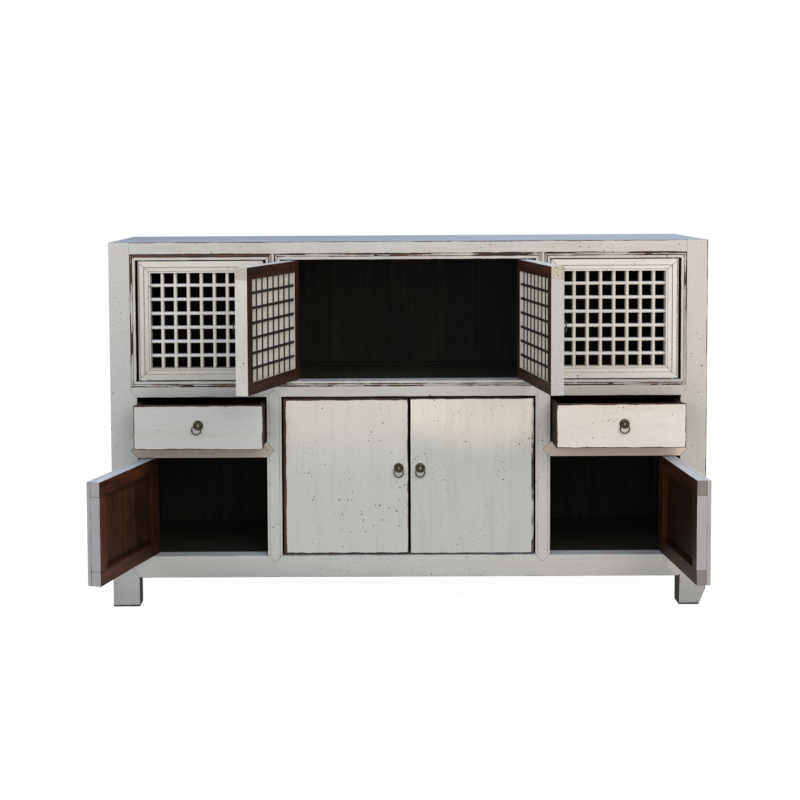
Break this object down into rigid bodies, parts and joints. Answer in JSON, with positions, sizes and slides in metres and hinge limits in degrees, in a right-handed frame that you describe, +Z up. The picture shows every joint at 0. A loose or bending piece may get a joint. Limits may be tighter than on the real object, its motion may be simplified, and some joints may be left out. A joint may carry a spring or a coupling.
{
  "type": "kitchen cupboard",
  "caption": "Long low painted wooden cupboard with lattice doors above, drawers and plain pivot-hung doors below, and ring pulls",
  "frame": {"origin": "On the floor under the middle of the cupboard", "axes": "+X to the right across the width, +Y from the front to the back, +Z up"},
  "size_m": [1.8111, 0.8048, 1.11],
  "materials": {
    "painted_wood": "worn off-white paint on elm",
    "bare_wood": "bare reddish-brown elm",
    "dark_wood": "dark aged unpainted wood",
    "top_paint": "worn blue-grey paint",
    "bronze": "aged bronze, dark in the hollows"
  },
  "bodies": {
    "carcass": {"front_posts": "painted_wood", "back_posts": "painted_wood", "top_front_rail": "painted_wood", "top_frame_rails": "top_paint", "top_panel": "top_paint", "middle_front_rail": "painted_wood", "bottom_front_rail": "painted_wood", "back_rails": "dark_wood", "side_rails": "painted_wood", "upper_dividers": "painted_wood", "lower_dividers": "painted_wood", "drawer_rails": "painted_wood", "side_panels": "painted_wood", "back_boards": "dark_wood", "shelf_boards": "dark_wood", "floor_boards": "dark_wood", "bearers": "dark_wood", "partitions": "dark_wood", "drawer_runners": "dark_wood", "drawer_guides": "dark_wood"},
    "upper_left_door": {"upper_left_door_frame": "painted_wood", "upper_left_door_lattice": "painted_wood", "upper_left_door_pull": "bronze"},
    "upper_left_ring": {"upper_left_door_ring": "bronze"},
    "upper_centre_left_door": {"upper_centre_left_door_frame": "painted_wood", "upper_centre_left_door_lattice": "painted_wood", "upper_centre_left_door_pull": "bronze"},
    "upper_centre_left_ring": {"upper_centre_left_door_ring": "bronze"},
    "upper_centre_right_door": {"upper_centre_right_door_frame": "painted_wood", "upper_centre_right_door_lattice": "painted_wood", "upper_centre_right_door_pull": "bronze"},
    "upper_centre_right_ring": {"upper_centre_right_door_ring": "bronze"},
    "upper_right_door": {"upper_right_door_frame": "painted_wood", "upper_right_door_lattice": "painted_wood", "upper_right_door_pull": "bronze"},
    "upper_right_ring": {"upper_right_door_ring": "bronze"},
    "lower_left_door": {"lower_left_door_frame": "bare_wood", "lower_left_door_panel": "painted_wood", "lower_left_door_pull": "bronze"},
    "lower_left_ring": {"lower_left_door_ring": "bronze"},
    "lower_centre_left_door": {"lower_centre_left_door_frame": "bare_wood", "lower_centre_left_door_panel": "painted_wood", "lower_centre_left_door_pull": "bronze"},
    "lower_centre_left_ring": {"lower_centre_left_door_ring": "bronze"},
    "lower_centre_right_door": {"lower_centre_right_door_frame": "bare_wood", "lower_centre_right_door_panel": "painted_wood", "lower_centre_right_door_pull": "bronze"},
    "lower_centre_right_ring": {"lower_centre_right_door_ring": "bronze"},
    "lower_right_door": {"lower_right_door_frame": "bare_wood", "lower_right_door_panel": "painted_wood", "lower_right_door_pull": "bronze"},
    "lower_right_ring": {"lower_right_door_ring": "bronze"},
    "left_drawer": {"left_drawer_front": "painted_wood", "left_drawer_box": "dark_wood", "left_drawer_pull": "bronze"},
    "left_drawer_ring": {"left_drawer_ring": "bronze"},
    "right_drawer": {"right_drawer_front": "painted_wood", "right_drawer_box": "dark_wood", "right_drawer_pull": "bronze"},
    "right_drawer_ring": {"right_drawer_ring": "bronze"}
  },
  "joints": [
    {"name": "upper_left_door_hinge", "type": "hinge", "parent": "carcass", "child": "upper_left_door", "pos_m": [-0.7975, -0.218, 0.694], "axis": [0, 0, 1], "range_deg": [-110, 0]},
    {"name": "upper_left_ring_swing", "type": "hinge", "parent": "upper_left_door", "child": "upper_left_ring", "pos_m": [-0.4535, -0.2375, 0.8965], "axis": [-1, 0, 0], "range_deg": [-8, 180]},
    {"name": "upper_centre_left_door_hinge", "type": "hinge", "parent": "carcass", "child": "upper_centre_left_door", "pos_m": [-0.3575, -0.218, 0.694], "axis": [0, 0, 1], "range_deg": [-4.5, 110]},
    {"name": "upper_centre_left_ring_swing", "type": "hinge", "parent": "upper_centre_left_door", "child": "upper_centre_left_ring", "pos_m": [-0.49143, -0.52895, 0.8965], "axis": [0.342, 0.9397, 0], "range_deg": [-8, 180]},
    {"name": "upper_centre_right_door_hinge", "type": "hinge", "parent": "carcass", "child": "upper_centre_right_door", "pos_m": [0.3575, -0.218, 0.694], "axis": [0, 0, 1], "range_deg": [-98.5, 15.5]},
    {"name": "upper_centre_right_ring_swing", "type": "hinge", "parent": "upper_centre_right_door", "child": "upper_centre_right_ring", "pos_m": [0.42674, -0.54941, 0.8965], "axis": [0.1478, -0.989, 0], "range_deg": [-8, 180]},
    {"name": "upper_right_door_hinge", "type": "hinge", "parent": "carcass", "child": "upper_right_door", "pos_m": [0.7975, -0.218, 0.694], "axis": [0, 0, 1], "range_deg": [0, 110]},
    {"name": "upper_right_ring_swing", "type": "hinge", "parent": "upper_right_door", "child": "upper_right_ring", "pos_m": [0.448, -0.2375, 0.8965], "axis": [-1, 0, 0], "range_deg": [-8, 180]},
    {"name": "lower_left_door_hinge", "type": "hinge", "parent": "carcass", "child": "lower_left_door", "pos_m": [-0.7905, -0.214, 0.159], "axis": [0, 0, 1], "range_deg": [-10, 107]},
    {"name": "lower_left_ring_swing", "type": "hinge", "parent": "lower_left_door", "child": "lower_left_ring", "pos_m": [-0.90507, -0.50836, 0.32675], "axis": [0.2924, 0.9563, 0], "range_deg": [-8, 180]},
    {"name": "lower_centre_left_door_hinge", "type": "hinge", "parent": "carcass", "child": "lower_centre_left_door", "pos_m": [-0.3565, -0.214, 0.161], "axis": [0, 0, 1], "range_deg": [-95, 0]},
    {"name": "lower_centre_left_ring_swing", "type": "hinge", "parent": "lower_centre_left_door", "child": "lower_centre_left_ring", "pos_m": [-0.03, -0.2375, 0.423], "axis": [-1, 0, 0], "range_deg": [-8, 180]},
    {"name": "lower_centre_right_door_hinge", "type": "hinge", "parent": "carcass", "child": "lower_centre_right_door", "pos_m": [0.3565, -0.214, 0.161], "axis": [0, 0, 1], "range_deg": [0, 95]},
    {"name": "lower_centre_right_ring_swing", "type": "hinge", "parent": "lower_centre_right_door", "child": "lower_centre_right_ring", "pos_m": [0.035, -0.2375, 0.423], "axis": [-1, 0, 0], "range_deg": [-8, 180]},
    {"name": "lower_right_door_hinge", "type": "hinge", "parent": "carcass", "child": "lower_right_door", "pos_m": [0.7905, -0.214, 0.159], "axis": [0, 0, 1], "range_deg": [-94, 19.5]},
    {"name": "lower_right_ring_swing", "type": "hinge", "parent": "lower_right_door", "child": "lower_right_ring", "pos_m": [0.83592, -0.52659, 0.32675], "axis": [0.0698, -0.9976, 0], "range_deg": [-8, 180]},
    {"name": "left_drawer_slide", "type": "slide", "parent": "carcass", "child": "left_drawer", "axis": [0, -1, 0], "range_m": [-0.1, 0.18]},
    {"name": "left_drawer_ring_swing", "type": "hinge", "parent": "left_drawer", "child": "left_drawer_ring", "pos_m": [-0.624, -0.3375, 0.5728], "axis": [-0.9336, 0, 0.3584], "range_deg": [-8, 180]},
    {"name": "right_drawer_slide", "type": "slide", "parent": "carcass", "child": "right_drawer", "axis": [0, -1, 0], "range_m": [-0.105, 0.18]},
    {"name": "right_drawer_ring_swing", "type": "hinge", "parent": "right_drawer", "child": "right_drawer_ring", "pos_m": [0.633, -0.3425, 0.5728], "axis": [-1, 0, 0], "range_deg": [-8, 180]}
  ]
}
